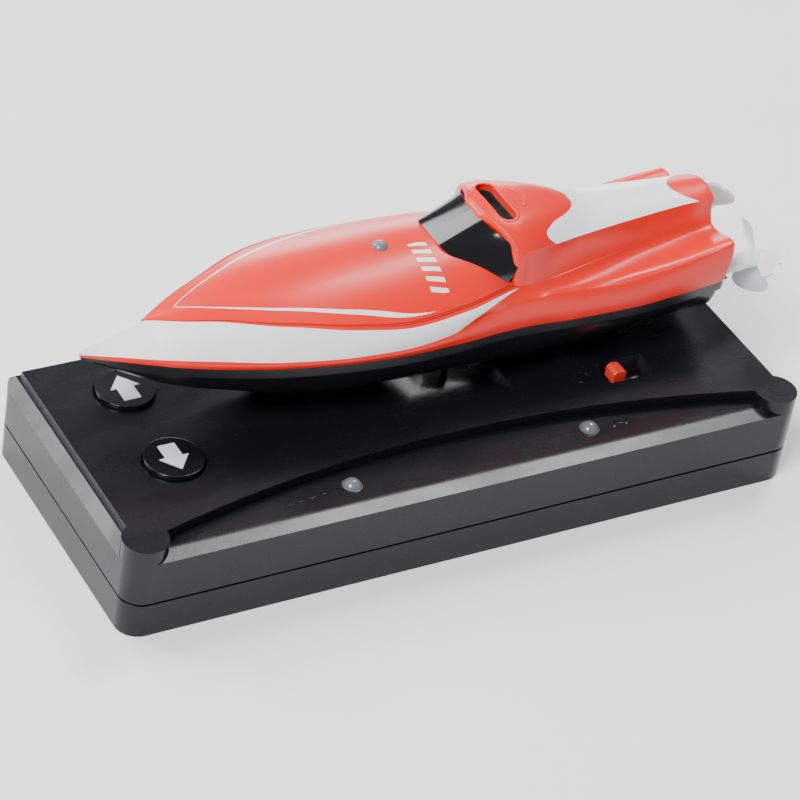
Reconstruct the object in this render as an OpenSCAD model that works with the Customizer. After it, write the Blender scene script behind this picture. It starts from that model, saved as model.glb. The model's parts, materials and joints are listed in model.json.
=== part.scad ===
// Mini radio-controlled boat resting on its hand-held transmitter, which is also its charging base.
// Origin: centre of the transmitter's underside. +X towards the stern, -Y towards the user, +Z up.

/* [Transmitter case] */
// Length of the case
case_l = 136; // [134:1:140]
// Width of the case
case_w = 55.5; // [54.5:0.5:58]
// Height of the top plate
case_h = 18.6; // [18.4:0.1:19]
// Radius of the upright corners
corner_r = 4.1; // [3:0.1:5]
// Height of the parting line between the two shells
parting_z = 7.05; // [6:0.05:8]
// Wall thickness of both shells
wall = 1.6; // [1.4:0.1:1.8]
// Step from the top plate down to the front ledge
ledge_drop = 2.2; // [1.8:0.1:2.4]

/* [Controls] */
// Diameter of each push button
button_d = 10.7; // [9.5:0.1:11]
// Height of a button above the top plate
button_proud = 1.0; // [0.9:0.1:1.4]
// Travel of a button
button_travel = 0.8; // [0.5:0.1:0.8]
// Diameter of the two signal lamps
lamp_d = 3.7; // [3:0.1:4]
// Travel of the power switch
switch_travel = 4.2; // [3.5:0.1:4.4]

/* [Boat] */
// Distance of the boat's centre plane behind the middle of the case
boat_y = 7.25; // [6.5:0.25:8]
// Skin thickness of the hull and the deck
skin = 1.2; // [1:0.1:1.3]
// Thickness of the seal between hull and deck
seal_t = 0.4; // [0.2:0.1:0.6]

/* [Drive] */
// Distance of each propeller shaft from the centre plane
shaft_h = 9.3; // [9:0.1:9.6]
// Height of the propeller shafts
shaft_z = 32; // [31.8:0.1:32.4]
// Diameter of the propeller shafts
shaft_d = 1.5; // [1.2:0.1:1.6]
// Diameter of each propeller
propeller_d = 15; // [13:0.5:15.5]

/* [Hidden] */
$fn = 64;
eps = 0.01;
gap = 0.3;
run_fit = 0.05;

// Case levels
groove_t = 0.4;
upper_z = parting_z + groove_t / 2;
lower_top = parting_z - groove_t / 2;
ledge_z = case_h - ledge_drop;
plate_under = case_h - wall;
ledge_under = ledge_z - wall;
side_bevel_z = 14.6;
front_bevel_z = 15.8;
plate_x = case_l / 2 - 2.2;
plate_back = case_w / 2 - 3.75;
post_x = case_l / 2 - corner_r;
post_y = case_w / 2 - corner_r;
arc_r = 242;
arc_y = -15.4;

// Circuit board
board_t = 1.0;
board_z = 12.8;
board_top = board_z + board_t;

// Buttons: place, and turn of the arrow from +X
button_r = button_d / 2;
flange_r = button_r + 1.05;
forward_at = [-50.9, 13.1];
reverse_at = [-50.9, -7.0];
left_at = [41.3, 6.1];
right_at = [54.9, 15.4];
button_places = [forward_at, reverse_at, left_at, right_at];

// Lamps and power switch
lamp_r = lamp_d / 2;
function_at = [-22.7, -20.4];
charge_at = [26.0, -20.1];
switch_c = [39.95, -9.3];
switch_l = 10.3;
switch_w = 6.0;
switch_depth = 2.0;
knob_l = 2.8;
knob_w = 3.0;

// Charging recess under the boat
recess_x = [-6.9, 16.6];
recess_y = [-8.7, 22.6];
recess_z = 14.0;
recess_slope_left = 10.5;
recess_slope_right = 1;
recess_slope_y = 12.6;
tongue_x = 9.8;
tongue_w = 5.4;
contact_h = 1.6;
rest_w = 4.6;
rest_x = [[-27.4, -19.5], [24, 32]];

// Battery bay
cell_d = 10.5;
cell_l = 44.5;
bay_y = 3;
bay_l = 94;
bay_w = 23;
cell_z = wall + 0.1 + cell_d / 2;

// Screws
case_screw_places = [for (x = [-60, 60], y = [-20, 20]) [x, y]];
door_screw_at = [50.5, bay_y];
hull_screw_places = [[-36, 0], [4, 9], [4, -9], [50, 0]];

// Lines of the boat: [x, value] pairs; half-widths are measured from the centre plane
stations = [-63.4, -60, -56, -52, -46, -40, -32, -24, -16, -7, 1, 7.5, 14, 19, 25, 32, 40, 50, 57, 62];
seam_half = [[-63.4, 0.4], [-60, 2.2], [-56, 4.2], [-48, 8], [-39, 11.2], [-30, 13.6], [-17.5, 15.5],
             [-8, 16], [3.7, 15.5], [14, 14.4], [19, 14.4], [28, 15], [39, 15], [50.5, 14.2], [62, 12.7]];
seam_z = [[-63.4, 33.5], [62, 31.2]];
rail_half = [[-63.4, 0.4], [-60, 2], [-52, 6.1], [-39, 11], [-17.5, 15.4], [-8, 15.9], [3.7, 15.2],
             [14, 14], [25, 13.8], [39, 13.6], [50, 13], [62, 11.8]];
rail_z = [[-63.4, 34.9], [-52, 35.4], [-30, 34.8], [-8, 34.2], [7, 35.6], [14, 37], [25, 37.2], [62, 38.6]];
edge_half = [[-63.4, 0.3], [-52, 1], [-46, 3.8], [-40, 6.6], [-30, 11.2], [-18, 14.2], [-7, 15.3],
             [4, 14.8], [15, 12.4], [25, 10.6], [34, 8.6], [47, 5.6], [62, 4]];
edge_z = [[-63.4, 35], [-56, 37.6], [-52, 39], [-40, 40.3], [-30, 40.4], [-18, 39.4], [-7, 38.4],
          [4, 38.7], [15, 39.5], [62, 39]];
shoulder_half = [[-63.4, 0.2], [-52, 0.6], [-40, 3.8], [-30, 6.4], [-7, 8.6], [1, 7.4], [7.5, 6.6], [14, 9.6],
                 [19, 9.6], [25, 8.6], [57, 3.6], [62, 3]];
shoulder_z = [[-63.4, 35.1], [-56, 37.7], [-52, 39.1], [-40, 41.3], [-30, 42.4], [-7, 43.2], [1, 43.8],
              [7.5, 46], [14, 46.6], [19, 47], [25, 45.4], [32, 44.2], [57, 44], [62, 42]];
crown_z = [[-63.4, 35.2], [-56, 37.8], [-52, 39.2], [-40, 41.8], [-30, 43.2], [-18, 44.2], [-7, 44.8],
           [4, 45.4], [11, 49.3], [16, 50], [22, 49.4], [31.5, 46.2], [40, 45.2], [57, 44.4], [62, 42.4]];
chine_half = [[-63.4, 0.2], [-56, 2.6], [-48, 5.8], [-40, 8], [-28, 10.3], [-15, 11.6], [20, 11.9], [62, 10.5]];
chine_z = [[-63.4, 32.7], [-56, 30.6], [-48, 28.6], [-40, 27], [-28, 25], [-15, 24], [20, 23.6], [62, 24.6]];
keel_z = [[-63.4, 32.4], [-56, 28.6], [-48, 24.6], [-40, 21.8], [-28, 19.7], [-16, 19], [18, 19.3],
          [34, 20.2], [62, 20.6]];
lip_drop = 1.6;
lip_step = 1.2;

// Drive train places along X
transom_x = 62;
hub_start = 62.6;
hub_end = 75.4;
hub_r = 1.75;
tube_start = 44.5;
motor_start = 22;
motor_l = 14;
motor_r = 3;
spindle_r = 0.5;
coupling_start = 37;
coupling_l = 6;
blade_x = 70;

// Parts of the roof
socket_x = 15.9;
socket_l = 11.2;
socket_w = 3.2;
deck_lamp_x = -6.9;
deck_lamp_r = 1.6;

// ---------- shared shapes ----------

// Rounded rectangle, l by w, corner radius r
module footprint(l, w, r) {
    square([l - 2 * r, w], center = true);
    square([l, w - 2 * r], center = true);
    for (x = [-1, 1], y = [-1, 1])
        translate([x * (l / 2 - r), y * (w / 2 - r)]) circle(r);
}

// Prism along X over an outline in Y and Z
module along_x(x0, x1, outline) {
    translate([x0, 0, 0]) rotate([90, 0, 90]) linear_extrude(x1 - x0) polygon(outline);
}

// Prism along Y over an outline in X and Z
module along_y(y0, y1, outline) {
    translate([0, y1, 0]) rotate([90, 0, 0]) linear_extrude(y1 - y0) polygon(outline);
}

// Pit with four sloping walls: x and y are [low, high] at the mouth; left, right and inset_y shrink its floor
module pit(x, y, top, floor_z, left, right, inset_y) {
    intersection() {
        along_x(x[0], x[1], [[y[0], top], [y[0] + inset_y, floor_z], [y[1] - inset_y, floor_z], [y[1], top]]);
        along_y(y[0], y[1], [[x[0], top], [x[0] + left, floor_z], [x[1] - right, floor_z], [x[1], top]]);
    }
}

// Rod along X, centred on the shaft line of one side (side is -1 for port, 1 for starboard)
module shaft_rod(side, x0, x1, r) {
    translate([x0, boat_y + side * shaft_h, shaft_z]) rotate([0, 90, 0]) cylinder(x1 - x0, r, r);
}

// Pan-head screw pointing up from z = 0, with a cross recess in its head
module screw(head_r, head_t, shank_r, length) {
    difference() {
        union() {
            cylinder(head_t, head_r, head_r);
            cylinder(length, shank_r, shank_r);
        }
        for (a = [0, 90])
            rotate(a) translate([-head_r * 0.6, -0.2, -eps]) cube([head_r * 1.2, 0.4, head_t * 0.6]);
    }
}

// Block arrow pointing +X
module arrow_outline(length, head_w, shaft_w) {
    head_l = length * 0.5;
    polygon([[-length / 2, -shaft_w / 2], [length / 2 - head_l, -shaft_w / 2], [length / 2 - head_l, -head_w / 2],
             [length / 2, 0],
             [length / 2 - head_l, head_w / 2], [length / 2 - head_l, shaft_w / 2], [-length / 2, shaft_w / 2]]);
}

// Height of a hull screw's head
function screw_seat(p) = at(keel_z, p[0]) + 0.3 * abs(p[1]) + 0.9;

// ---------- boat lines ----------

function at(line, x) = lookup(x, line);
function mirrored(half) = concat([for (p = half) [-p[0], p[1]]], [for (i = [len(half) - 2:-1:0]) half[i]]);

// Half sections run from the seam to the centre plane, as [half-width, height]
function deck_half(x, t) = let (
    s = at(seam_half, x), z = at(seam_z, x) + seal_t, top = max(at(crown_z, x) - t, z + 0.6)
) [
    [max(s - t, 0.15), z - (t > 0 ? 1 : 0)],
    [max(at(rail_half, x) - t, 0.14), max(min(at(rail_z, x) - t / 2, top - 0.4), z + 0.1)],
    [max(at(edge_half, x) - t, 0.12), max(min(at(edge_z, x) - t, top - 0.2), z + 0.2)],
    [max(at(shoulder_half, x) - t, 0.1), max(min(at(shoulder_z, x) - t, top - 0.1), z + 0.3)],
    [max(at(shoulder_half, x) - t, 0.1) * 0.6, top - 0.2 * max(top - at(shoulder_z, x) + t, 0.1)],
    [0, top]
];
function hull_half(x, t) = let (s = at(seam_half, x), z = at(seam_z, x), low = at(keel_z, x) + 1.3 * t) [
    [max(s - t, 0.15), z + (t > 0 ? 1 : 0)],
    [max(s - t - 0.05, 0.14), max(z - lip_drop, low + 0.3)],
    [max(s - t - lip_step, 0.12), max(z - lip_drop - 1, low + 0.2)],
    [max(at(chine_half, x) - t, 0.1), max(min(at(chine_z, x) + t, z - lip_drop - 1.2), low + 0.1)],
    [0, low]
];
// The seal is a flat ring between the two rims
function seal_half(x, t) = let (s = at(seam_half, x), z = at(seam_z, x)) [
    [max(s - t, 0.15), z - (t > skin / 2 ? 1 : 0)],
    [max(s - t, 0.15), z + seal_t + (t > skin / 2 ? 1 : 0)],
    [0, z + seal_t + (t > skin / 2 ? 1 : 0)]
];

// Skin over one ring of points per station, closed by flat ends
module loft(xs, rings) {
    n = len(rings[0]);
    m = len(xs);
    points = [for (i = [0:m - 1]) for (p = rings[i]) [xs[i], boat_y + p[0], p[1]]];
    sides = [for (i = [0:m - 2]) for (j = [0:n - 1])
             let (a = i * n + j, b = i * n + (j + 1) % n) each [[a, b, a + n], [b, b + n, a + n]]];
    first = [for (j = [n - 1:-1:0]) j];
    last = [for (j = [0:n - 1]) (m - 1) * n + j];
    polyhedron(points, concat([first, last], sides));
}

// The inside lofts run past both ends and are cut square there
inner_xs = concat([for (i = [2:len(stations) - 2]) stations[i]], [transom_x + 2]);
module inside_span() { translate([-52.5, -50, 0]) cube([transom_x - skin + 52.5, 100, 60]); }
module deck_body() { loft(stations, [for (x = stations) mirrored(deck_half(x, 0))]); }
module deck_hollow() {
    intersection() {
        loft(inner_xs, [for (x = inner_xs) mirrored(deck_half(x, skin))]);
        inside_span();
    }
}
module hull_body() { loft(stations, [for (x = stations) [for (p = mirrored(hull_half(x, 0))) [-p[0], p[1]]]]); }
module hull_hollow() {
    intersection() {
        loft(inner_xs, [for (x = inner_xs) [for (p = mirrored(hull_half(x, skin))) [-p[0], p[1]]]]);
        inside_span();
    }
}

// ---------- transmitter ----------

module plate_outline(inset) {
    difference() {
        translate([-plate_x + inset, -post_y]) square([2 * (plate_x - inset), post_y + plate_back - inset]);
        translate([1, arc_y - arc_r]) circle(arc_r + inset, $fn = 200);
    }
}

module case_wedge() {
    intersection() {
        translate([0, 0, upper_z]) linear_extrude(ledge_z - upper_z) footprint(case_l, case_w, corner_r);
        along_x(-case_l / 2, case_l / 2,
                [[-case_w / 2, upper_z], [case_w / 2, upper_z], [case_w / 2, side_bevel_z],
                 [case_w / 2 - 2, ledge_z], [-case_w / 2 + 2.85, ledge_z], [-case_w / 2, front_bevel_z]]);
        along_y(-case_w / 2, case_w / 2,
                [[-case_l / 2, upper_z], [case_l / 2, upper_z], [case_l / 2, side_bevel_z],
                 [case_l / 2 - 2, ledge_z], [-case_l / 2 + 2, ledge_z], [-case_l / 2, side_bevel_z]]);
    }
}

// Pair of wedges under the hull; the hull is lowest over them at x_low
module keel_rest(x0, x1, x_low) {
    low = at(keel_z, x_low) - gap;
    slope = (at(chine_z, x_low) - at(keel_z, x_low)) / at(chine_half, x_low);
    for (s = [-1, 1])
        along_x(x0, x1, [[boat_y + s * 0.5, case_h - eps], [boat_y + s * rest_w, case_h - eps],
                         [boat_y + s * rest_w, low + rest_w * slope], [boat_y + s * 0.5, low + 0.5 * slope]]);
}

module upper_case() {
    color("#17171b") difference() {
        union() {
            case_wedge();
            translate([0, 0, ledge_z - eps]) linear_extrude(case_h - ledge_z + eps) plate_outline(0);
            for (x = [-1, 1]) translate([x * post_x, -post_y, upper_z]) cylinder(case_h - upper_z, corner_r, corner_r);
            keel_rest(rest_x[0][0], rest_x[0][1], rest_x[0][1]);
            keel_rest(rest_x[1][0], rest_x[1][1], rest_x[1][0]);
        }
        difference() {
            union() {
                translate([0, 0, upper_z - eps]) linear_extrude(ledge_under - upper_z + eps)
                    footprint(case_l - 2 * wall, case_w - 2 * wall, corner_r - wall);
                translate([0, 0, ledge_under - eps]) linear_extrude(plate_under - ledge_under + eps)
                    plate_outline(wall);
            }
            for (x = [-1, 1]) translate([x * post_x, -post_y, upper_z - 1]) cylinder(case_h, corner_r, corner_r);
            for (p = case_screw_places) translate([p[0], p[1], upper_z]) cylinder(case_h - upper_z, 2.6, 2.6);
            pit([recess_x[0] - wall, recess_x[1] + wall], [recess_y[0] - wall, recess_y[1] + 1.2],
                case_h, recess_z - 1.2, recess_slope_left, recess_slope_right, recess_slope_y);
            pit([switch_c[0] - switch_l / 2 - 1.2, switch_c[0] + switch_l / 2 + 1.2],
                [switch_c[1] - switch_w / 2 - 1.2, switch_c[1] + switch_w / 2 + 1.2],
                case_h, case_h - switch_depth - 1.2, 1, 1, 1);
        }
        for (p = case_screw_places) translate([p[0], p[1], upper_z - eps]) cylinder(7, 0.95, 0.95);
        for (p = button_places) {
            translate([p[0], p[1], plate_under - 1]) cylinder(wall + 2, button_r + gap, button_r + gap);
            translate([p[0], p[1], plate_under - 2]) cylinder(2, flange_r + gap, flange_r + gap);
        }
        for (p = [function_at, charge_at]) translate([p[0], p[1], ledge_under - 1]) cylinder(wall + 2, lamp_r, lamp_r);
        pit(recess_x, recess_y, case_h + eps, recess_z, recess_slope_left, recess_slope_right, recess_slope_y);
        pit([switch_c[0] - switch_l / 2, switch_c[0] + switch_l / 2],
            [switch_c[1] - switch_w / 2, switch_c[1] + switch_w / 2],
            case_h + eps, case_h - switch_depth, 1, 1, 1);
        translate([switch_c[0] - 3.9, switch_c[1] - 1.1, plate_under - 3]) cube([7.8, 2.2, 4]);
    }
}

module lower_case() {
    color("#17171b") difference() {
        union() {
            difference() {
                linear_extrude(lower_top) footprint(case_l, case_w, corner_r);
                translate([0, 0, wall]) linear_extrude(case_h)
                    footprint(case_l - 2 * wall, case_w - 2 * wall, corner_r - wall);
            }
            difference() {
                linear_extrude(upper_z) footprint(case_l - wall, case_w - wall, corner_r - wall / 2);
                translate([0, 0, wall]) linear_extrude(case_h)
                    footprint(case_l - 2 * wall, case_w - 2 * wall, corner_r - wall);
            }
            for (p = case_screw_places) translate([p[0], p[1], 0]) cylinder(upper_z, 3, 3);
            for (x = [-56, 34], y = [-20, 17.6]) translate([x, y, 0]) cylinder(board_z, 1.6, 1.6);
            translate([door_screw_at[0], door_screw_at[1], 0]) cylinder(8, 3, 3);
            difference() {
                translate([-bay_l / 2 - 1.2, bay_y - bay_w / 2 - 1.2, 0]) cube([bay_l + 2.4, bay_w + 2.4, 11.6]);
                translate([-bay_l / 2, bay_y - bay_w / 2, -eps]) cube([bay_l, bay_w, case_h]);
            }
        }
        for (p = case_screw_places) {
            translate([p[0], p[1], -eps]) cylinder(upper_z + 1, 1.2, 1.2);
            translate([p[0], p[1], -eps]) cylinder(3 + eps, 2.2, 2.2);
        }
        translate([-bay_l / 2, bay_y - bay_w / 2, -eps]) cube([bay_l, bay_w, wall + 2 * eps]);
        translate([bay_l / 2 - eps, bay_y - 3.5, -eps]) cube([door_screw_at[0] + 3.5 - bay_l / 2, 7, wall]);
        translate([door_screw_at[0], door_screw_at[1], wall - 1]) cylinder(6, 0.95, 0.95);
    }
}

module battery_door() {
    color("#1b1b20") difference() {
        union() {
            translate([-bay_l / 2 + 0.15, bay_y - bay_w / 2 + 0.15, 0]) cube([bay_l - 0.3, bay_w - 0.3, wall - 0.05]);
            translate([bay_l / 2 - 1, bay_y - 3.35, 0]) cube([door_screw_at[0] + 4.35 - bay_l / 2, 6.7, wall - 0.1]);
        }
        for (i = [0:4]) translate([-38 + 1.6 * i, bay_y - 5, -eps]) cube([0.7, 10, 0.4]);
        translate([door_screw_at[0], door_screw_at[1], -eps]) cylinder(wall, 1.2, 1.2);
        translate([door_screw_at[0], door_screw_at[1], -eps]) cylinder(0.9 + eps, 2.1, 2.1);
    }
}

module battery_door_screw() {
    color("silver") translate([door_screw_at[0], door_screw_at[1], 0.1]) screw(2, 0.8, 0.95, 6.4);
}

module case_screws() {
    color("silver") for (p = case_screw_places) translate([p[0], p[1], 1.4]) screw(2, 1.6, 0.95, 11);
}

module dry_cells() {
    color("goldenrod") for (x = [-1, 1], y = [-1, 1])
        translate([x * (cell_l / 2 + 0.3) - cell_l / 2, bay_y + y * (cell_d / 2 + 0.3), cell_z]) rotate([0, 90, 0]) {
            cylinder(cell_l - 1, cell_d / 2, cell_d / 2);
            cylinder(cell_l, 1.9, 1.9);
        }
}

module cell_contacts() {
    color("gainsboro") for (x = [-1, 1])
        translate([x * (bay_l / 2 - 0.25) - 0.25, bay_y - 10, 3]) cube([0.5, 20, 8]);
}

module circuit_board() {
    color("darkgreen") difference() {
        translate([-57.2, -24, board_z]) cube([118.8, 43.5, board_t]);
        translate([-9.6, -11.2, board_z - 1]) cube([29, 40, board_t + 2]);
        for (x = [-60, 60], y = [-20, 20]) translate([x, y, board_z - 1]) cylinder(board_t + 2, 3.2, 3.2);
        translate([58, -30, board_z - 1]) cube([10, 13, board_t + 2]);
    }
}

module tact_switches() {
    color("dimgray") for (p = button_places) translate([p[0], p[1], board_top]) {
        translate([-2.25, -2.25, 0]) cube([4.5, 4.5, 1.1]);
        cylinder(1.25, 1, 1);
    }
}

module slide_switch() {
    color("slategray") difference() {
        translate([switch_c[0] - 6, switch_c[1] - 2.7, board_top]) cube([12, 5.4, 1.3]);
        translate([switch_c[0] - 3.9, switch_c[1] - 1.2, board_top + 0.4]) cube([7.8, 2.4, 2]);
    }
}

module power_knob() {
    knob_x = switch_c[0] - switch_travel / 2 - knob_l / 2;
    knob_z = case_h - switch_depth + 0.2;
    top_z = case_h + 0.9;
    color("red") {
        along_y(switch_c[1] - knob_w / 2, switch_c[1] + knob_w / 2,
                [[knob_x, knob_z], [knob_x + knob_l, knob_z], [knob_x + knob_l, top_z - 0.5],
                 [knob_x + knob_l - 0.6, top_z], [knob_x + 0.6, top_z], [knob_x, top_z - 0.5]]);
        translate([knob_x + 0.6, switch_c[1] - 0.8, board_top + 0.7]) cube([knob_l - 1.2, 1.6, knob_z - board_top]);
    }
}

module lamp(p) {
    color("lightgray") translate([p[0], p[1], board_top]) {
        cylinder(0.6, lamp_r + 0.3, lamp_r + 0.3);
        cylinder(ledge_z - board_top, lamp_r, lamp_r);
        translate([0, 0, ledge_z - board_top - 0.6]) intersection() {
            sphere(lamp_r);
            cylinder(lamp_r, lamp_r, lamp_r);
        }
    }
}
module function_lamp() { lamp(function_at); }
module charge_lamp() { lamp(charge_at); }

module charging_tongue() {
    color("#202024") translate([tongue_x - 0.7, boat_y - tongue_w / 2, recess_z]) cube([1.4, tongue_w, 3.6]);
}

module tongue_contacts() {
    color("gold") for (s = [-1, 1])
        translate([tongue_x + 0.7, boat_y + s * contact_h - 0.7, recess_z]) cube([0.25, 1.4, 3.2]);
}

module button(p, turn) {
    color("#1d1d22") difference() {
        union() {
            translate([p[0], p[1], plate_under - 0.7]) cylinder(0.6, flange_r, flange_r);
            translate([p[0], p[1], plate_under - 0.7]) cylinder(wall + 0.7 + button_proud, button_r, button_r);
            translate([p[0], p[1], board_top + 1.25 + button_travel + 0.05]) cylinder(1, 1.5, 1.5);
        }
        arrow(p, turn);
    }
}

module arrow(p, turn) {
    translate([p[0], p[1], case_h + button_proud - 0.3]) rotate(turn) linear_extrude(0.45) arrow_outline(6.8, 5.6, 3.2);
}

module forward_button() { button(forward_at, 90); }
module reverse_button() { button(reverse_at, -90); }
module left_button() { button(left_at, 180); }
module right_button() { button(right_at, 0); }
module forward_arrow() { color("silver") arrow(forward_at, 90); }
module reverse_arrow() { color("silver") arrow(reverse_at, -90); }
module left_arrow() { color("silver") arrow(left_at, 180); }
module right_arrow() { color("silver") arrow(right_at, 0); }

// ---------- boat ----------

module glass_block() {
    hull() {
        for (s = [-1, 1]) {
            translate([3.6, boat_y + s * 4.8, 44.4]) cube(0.4, center = true);
            translate([10.9, boat_y + s * 4.5, 49.2]) cube(0.4, center = true);
            translate([14.2, boat_y + s * 11.2, 42.2]) cube(0.4, center = true);
            translate([14.2, boat_y + s * 10.2, 46.8]) cube(0.4, center = true);
        }
        translate([13, boat_y, 45.5]) cube([1, 12, 1], center = true);
    }
}

module hull_part() {
    color("#141417") difference() {
        union() {
            difference() {
                hull_body();
                hull_hollow();
            }
            intersection() {
                hull_body();
                for (p = hull_screw_places) translate([p[0], boat_y + p[1], 18]) cylinder(20, 2, 2);
            }
        }
        for (p = hull_screw_places) translate([p[0], boat_y + p[1], 17]) {
            cylinder(20, 0.75, 0.75);
            cylinder(screw_seat(p) + 0.9 - 17, 1.5, 1.5);
        }
        for (side = [-1, 1]) shaft_rod(side, tube_start, transom_x + 2, 1.6);
    }
}

module deck_shell() {
    color("#e8503c") difference() {
        union() {
            difference() {
                deck_body();
                deck_hollow();
            }
            intersection() {
                deck_body();
                for (p = hull_screw_places) translate([p[0], boat_y + p[1], 30]) cylinder(20, 2, 2);
            }
        }
        for (p = hull_screw_places) translate([p[0], boat_y + p[1], 30]) cylinder(6.6, 0.75, 0.75);
        glass_block();
        translate([deck_lamp_x, boat_y, 40]) cylinder(8, deck_lamp_r, deck_lamp_r);
        translate([socket_x - socket_w / 2, boat_y - socket_l / 2, 44]) cube([socket_w, socket_l, 8]);
        for (side = [-1, 1]) shaft_rod(side, tube_start, transom_x + 2, 1.6);
    }
}

module hull_seal() {
    color("#2a2a2e") difference() {
        loft(stations, [for (x = stations) mirrored(seal_half(x, 0.3))]);
        intersection() {
            loft(inner_xs, [for (x = inner_xs) mirrored(seal_half(x, skin))]);
            inside_span();
        }
        for (side = [-1, 1]) shaft_rod(side, tube_start, transom_x + 2, 1.6);
    }
}

module windshield() {
    color("#101014") difference() {
        glass_block();
        translate([1.6, 0, -1.4]) glass_block();
    }
}

module deck_lamp() {
    color("lightgray") translate([deck_lamp_x, boat_y, 41]) {
        cylinder(3.7, deck_lamp_r, deck_lamp_r);
        translate([0, 0, 3.2]) intersection() {
            sphere(deck_lamp_r);
            cylinder(deck_lamp_r, deck_lamp_r, deck_lamp_r);
        }
    }
}

module charge_socket() {
    color("#17171b") difference() {
        translate([socket_x - 1.4, boat_y - 6.2, 41.6]) cube([4, 12.4, 5.4]);
        translate([socket_x - 1.1, boat_y - 5, 42.6]) cube([2.2, 10, 5]);
    }
}

module socket_contacts() {
    color("gold") for (s = [-1, 1])
        translate([socket_x + 0.7, boat_y + s * contact_h - 0.7, 42.6]) cube([0.4, 1.4, 4.2]);
}

module motor(side) {
    color("silver") difference() {
        shaft_rod(side, motor_start, motor_start + motor_l, motor_r);
        shaft_rod(side, motor_start + motor_l - 7, motor_start + motor_l + 1, spindle_r + run_fit);
    }
}
module port_motor() { motor(-1); }
module starboard_motor() { motor(1); }

module motor_mount() {
    color("white") difference() {
        union() {
            translate([motor_start + 2, boat_y - 12, 28.9]) cube([8, 24, 2.7]);
            translate([motor_start + 2, boat_y - 4, 23.2]) cube([8, 8, 5.8]);
        }
        for (side = [-1, 1]) shaft_rod(side, motor_start, motor_start + motor_l, motor_r);
    }
}

module boat_cell() {
    color("steelblue") translate([-24, boat_y - 6.5, 24.5]) cube([25, 13, 5]);
}

module receiver_board() {
    color("darkgreen") translate([-24, boat_y - 6.8, 31]) cube([34, 13.6, 1]);
}

module stern_tubes() {
    color("gainsboro") for (side = [-1, 1]) difference() {
        shaft_rod(side, tube_start, transom_x + 0.3, 1.6);
        shaft_rod(side, tube_start - 1, transom_x + 1, shaft_d / 2 + run_fit);
    }
}

module hull_screws() {
    color("silver") for (p = hull_screw_places)
        translate([p[0], boat_y + p[1], screw_seat(p)]) screw(1.45, 0.9, 0.75, 36.2 - screw_seat(p));
}

module blade(turn) {
    rotate([turn, 0, 0]) translate([0, 0, hub_r * 0.6]) rotate([0, 0, 38]) intersection() {
        translate([-0.5, 0, 3]) rotate([0, 90, 0]) cylinder(1, 3.6, 3.6);
        translate([-1, -4, 0]) cube([2, 8, propeller_d / 2 - hub_r * 0.6]);
    }
}

module propeller(side) {
    color("whitesmoke") difference() {
        union() {
            shaft_rod(side, hub_start, hub_end, hub_r);
            translate([blade_x, boat_y + side * shaft_h, shaft_z]) for (turn = [0, 120, 240]) blade(side * turn);
        }
        shaft_rod(side, hub_start - 1, hub_end - 2, shaft_d / 2);
    }
}
module port_propeller() { propeller(-1); }
module starboard_propeller() { propeller(1); }

module drive_shaft(side) {
    color("silver") shaft_rod(side, coupling_start + coupling_l / 2, hub_end - 2, shaft_d / 2);
}
module port_shaft() { drive_shaft(-1); }
module starboard_shaft() { drive_shaft(1); }

module coupling(side) {
    color("#303030") difference() {
        shaft_rod(side, coupling_start, coupling_start + coupling_l, 1.5);
        shaft_rod(side, coupling_start - 1, coupling_start + coupling_l / 2, spindle_r);
        shaft_rod(side, coupling_start + coupling_l / 2, coupling_start + coupling_l + 1, shaft_d / 2);
    }
}
module port_coupling() { coupling(-1); }
module starboard_coupling() { coupling(1); }

module spindle(side) {
    color("silver") shaft_rod(side, motor_start + motor_l - 6.5, coupling_start + coupling_l / 2, spindle_r);
}
module port_spindle() { spindle(-1); }
module starboard_spindle() { spindle(1); }

upper_case();
lower_case();
battery_door();
battery_door_screw();
case_screws();
dry_cells();
cell_contacts();
circuit_board();
tact_switches();
slide_switch();
power_knob();
function_lamp();
charge_lamp();
charging_tongue();
tongue_contacts();
forward_button();
reverse_button();
left_button();
right_button();
forward_arrow();
reverse_arrow();
left_arrow();
right_arrow();
hull_part();  // hull
deck_shell();
hull_seal();
windshield();
deck_lamp();
charge_socket();
socket_contacts();
port_motor();
starboard_motor();
motor_mount();
boat_cell();
receiver_board();
stern_tubes();
hull_screws();
port_propeller();
starboard_propeller();
port_shaft();
starboard_shaft();
port_coupling();
starboard_coupling();
port_spindle();
starboard_spindle();
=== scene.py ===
"""Looks of a mini radio-controlled boat on its flat transmitter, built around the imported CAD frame."""

import json
import logging
import math
from dataclasses import dataclass
from enum import Enum
from typing import Callable, Dict, List, Optional, Sequence, Tuple

import bmesh
import bpy
from bmesh.types import BMEdge, BMesh, BMVert
from bpy.types import Material, Node, NodeSocket, NodeTree, Object
from mathutils import Matrix, Vector

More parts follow.
